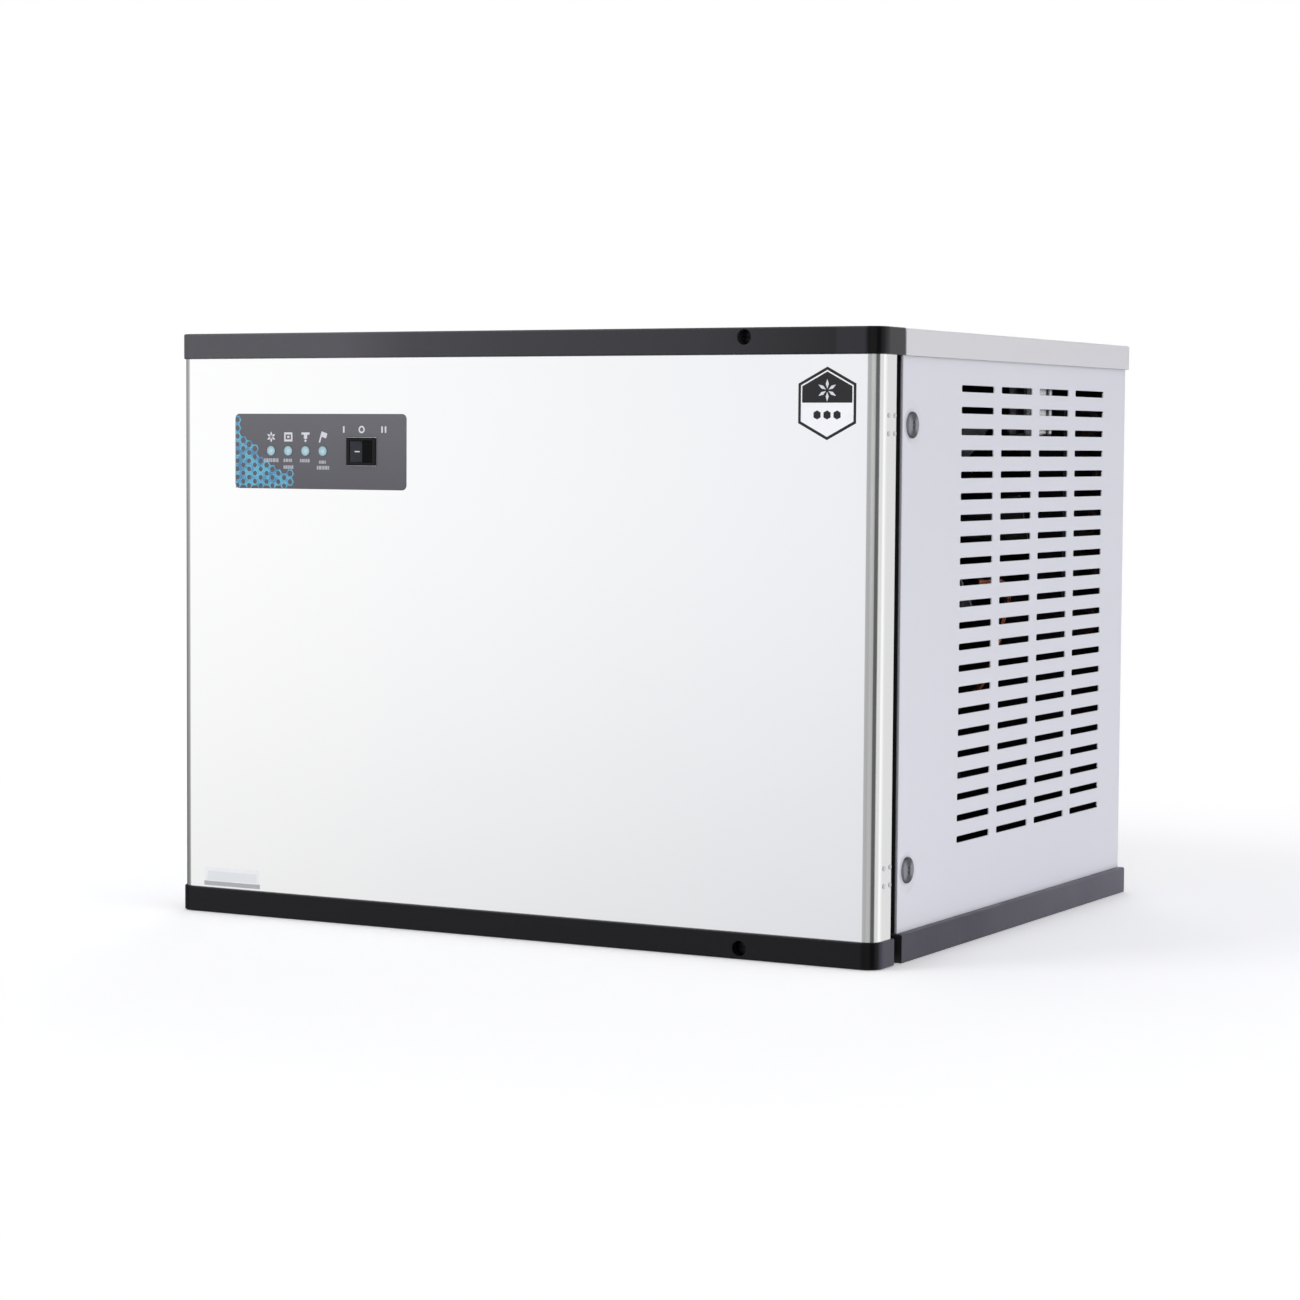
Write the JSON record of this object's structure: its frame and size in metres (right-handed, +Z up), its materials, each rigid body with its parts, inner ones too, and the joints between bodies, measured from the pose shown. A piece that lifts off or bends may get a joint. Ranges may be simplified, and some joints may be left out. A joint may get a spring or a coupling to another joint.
{
  "type": "ice maker head",
  "caption": "Modular ice maker head with a hinged polished front panel, slotted machine side, drop opening under the ice chamber and air-cooled refrigeration behind",
  "frame": {"origin": "centre of the footprint on the surface that the head stands on", "axes": "+X to the right seen from the front, +Y to the back, +Z up; the front panel faces -Y"},
  "size_m": [0.762, 0.62, 0.57],
  "materials": {
    "polished_steel": "polished stainless sheet with a very fine vertical grain",
    "trim_plastic": "moulded charcoal plastic, satin",
    "foam": "closed-cell foam board",
    "dark_screw": "dark passivated steel",
    "rivet_steel": "plated steel fastener",
    "hinge_steel": "pressed stainless leaf",
    "overlay_film": "printed polycarbonate film, grey with pale blue cells",
    "lens_plastic": "pale blue-grey translucent lens",
    "black_nylon": "black nylon",
    "circuit_laminate": "green board with parts",
    "grey_plastic": "grey moulded plastic",
    "base_plastic": "moulded dark blue-grey plastic over foam",
    "painted_panel": "pale grey coated steel sheet",
    "galvanised": "galvanised steel sheet",
    "black_frame": "black painted steel",
    "liner_plastic": "white food-safe plastic",
    "nickel_plate": "nickel-plated copper",
    "copper": "drawn copper tube",
    "white_plastic": "white moulded plastic",
    "clear_plastic": "clear plastic",
    "probe_plastic": "grey plastic",
    "motor_black": "black enamelled motor can",
    "hose_rubber": "black rubber",
    "float_plastic": "blue float plastic",
    "valve_plastic": "moulded valve body",
    "compressor_black": "black gloss enamel on steel",
    "fin_aluminium": "aluminium fins",
    "fan_aluminium": "pressed aluminium blade",
    "copper_can": "copper drier shell",
    "brass_valve": "forged brass"
  },
  "bodies": {
    "chassis": {"cabinet_hinge_leaves": "hinge_steel", "side_panel_fasteners": "dark_screw", "base": "base_plastic", "left_side_panel": "painted_panel", "right_side_panel": "painted_panel", "top_cover": "painted_panel", "back_panel": "galvanised", "rear_screws": "rivet_steel", "front_posts": "black_frame", "top_front_rail": "black_frame", "bottom_front_rail": "black_frame", "centre_partition": "galvanised", "ice_chamber_liner": "liner_plastic", "chamber_insulation": "foam", "chamber_cover": "liner_plastic", "evaporator_plate": "nickel_plate", "evaporator_coil": "copper", "evaporator_frame": "white_plastic", "water_distribution_tube": "white_plastic", "water_trough": "white_plastic", "pump_motor": "motor_black", "pump_housing": "white_plastic", "pump_hose": "hose_rubber", "float_stem": "white_plastic", "water_inlet_valve": "valve_plastic", "fill_tube": "clear_plastic", "drain_valve": "valve_plastic", "drain_outlet_pipe": "white_plastic", "compressor": "compressor_black", "compressor_grommets": "hose_rubber", "condenser_fins": "fin_aluminium", "condenser_tube": "copper", "fan_shroud": "galvanised", "fan_motor": "motor_black", "refrigerant_lines": "copper", "filter_drier": "copper_can", "expansion_valve": "brass_valve", "hot_gas_valve": "brass_valve", "control_box": "galvanised", "control_box_cover": "galvanised", "circuit_board": "circuit_laminate", "power_gland": "black_nylon"},
    "front_panel": {"front_panel_skin": "polished_steel", "front_panel_top_trim": "trim_plastic", "front_panel_bottom_trim": "trim_plastic", "front_panel_backing": "foam", "front_panel_screws": "dark_screw", "front_panel_rivets": "rivet_steel", "door_hinge_leaves": "hinge_steel", "control_overlay": "overlay_film", "led_lenses": "lens_plastic", "rocker_switch_body": "black_nylon", "led_board": "circuit_laminate", "control_housing": "grey_plastic"},
    "rocker": {"switch_rocker": "black_nylon"},
    "fan": {"fan_blade": "fan_aluminium"},
    "curtain": {"water_curtain": "clear_plastic"},
    "probe": {"thickness_probe_arm": "probe_plastic"},
    "pump_rotor": {"pump_impeller": "white_plastic"},
    "float": {"water_float": "float_plastic"}
  },
  "joints": [
    {"name": "front_panel_hinge", "type": "hinge", "parent": "chassis", "child": "front_panel", "pos_m": [-0.376, -0.264, 0.28265], "axis": [0, 0, -1], "range_deg": [0, 110]},
    {"name": "rocker_tilt", "type": "hinge", "parent": "front_panel", "child": "rocker", "pos_m": [-0.1658, -0.3058, 0.456], "axis": [0, 0, 1], "range_deg": [-9, 9]},
    {"name": "fan_spin", "type": "hinge", "parent": "chassis", "child": "fan", "pos_m": [0.204, 0.193, 0.389], "axis": [0, 1, 0], "continuous": true},
    {"name": "pump_spin", "type": "hinge", "parent": "chassis", "child": "pump_rotor", "pos_m": [-0.035, 0.15, 0.12], "axis": [0, 0, 1], "continuous": true},
    {"name": "curtain_swing", "type": "hinge", "parent": "chassis", "child": "curtain", "pos_m": [-0.2104, 0.0315, 0.4699], "axis": [-1, 0, 0], "range_deg": [0, 35]},
    {"name": "probe_swing", "type": "hinge", "parent": "chassis", "child": "probe", "pos_m": [-0.0913, 0.049, 0.4659], "axis": [-1, 0, 0], "range_deg": [0, 8]},
    {"name": "float_rise", "type": "slide", "parent": "chassis", "child": "float", "axis": [0, 0, 1], "range_m": [0, 0.0235]}
  ]
}
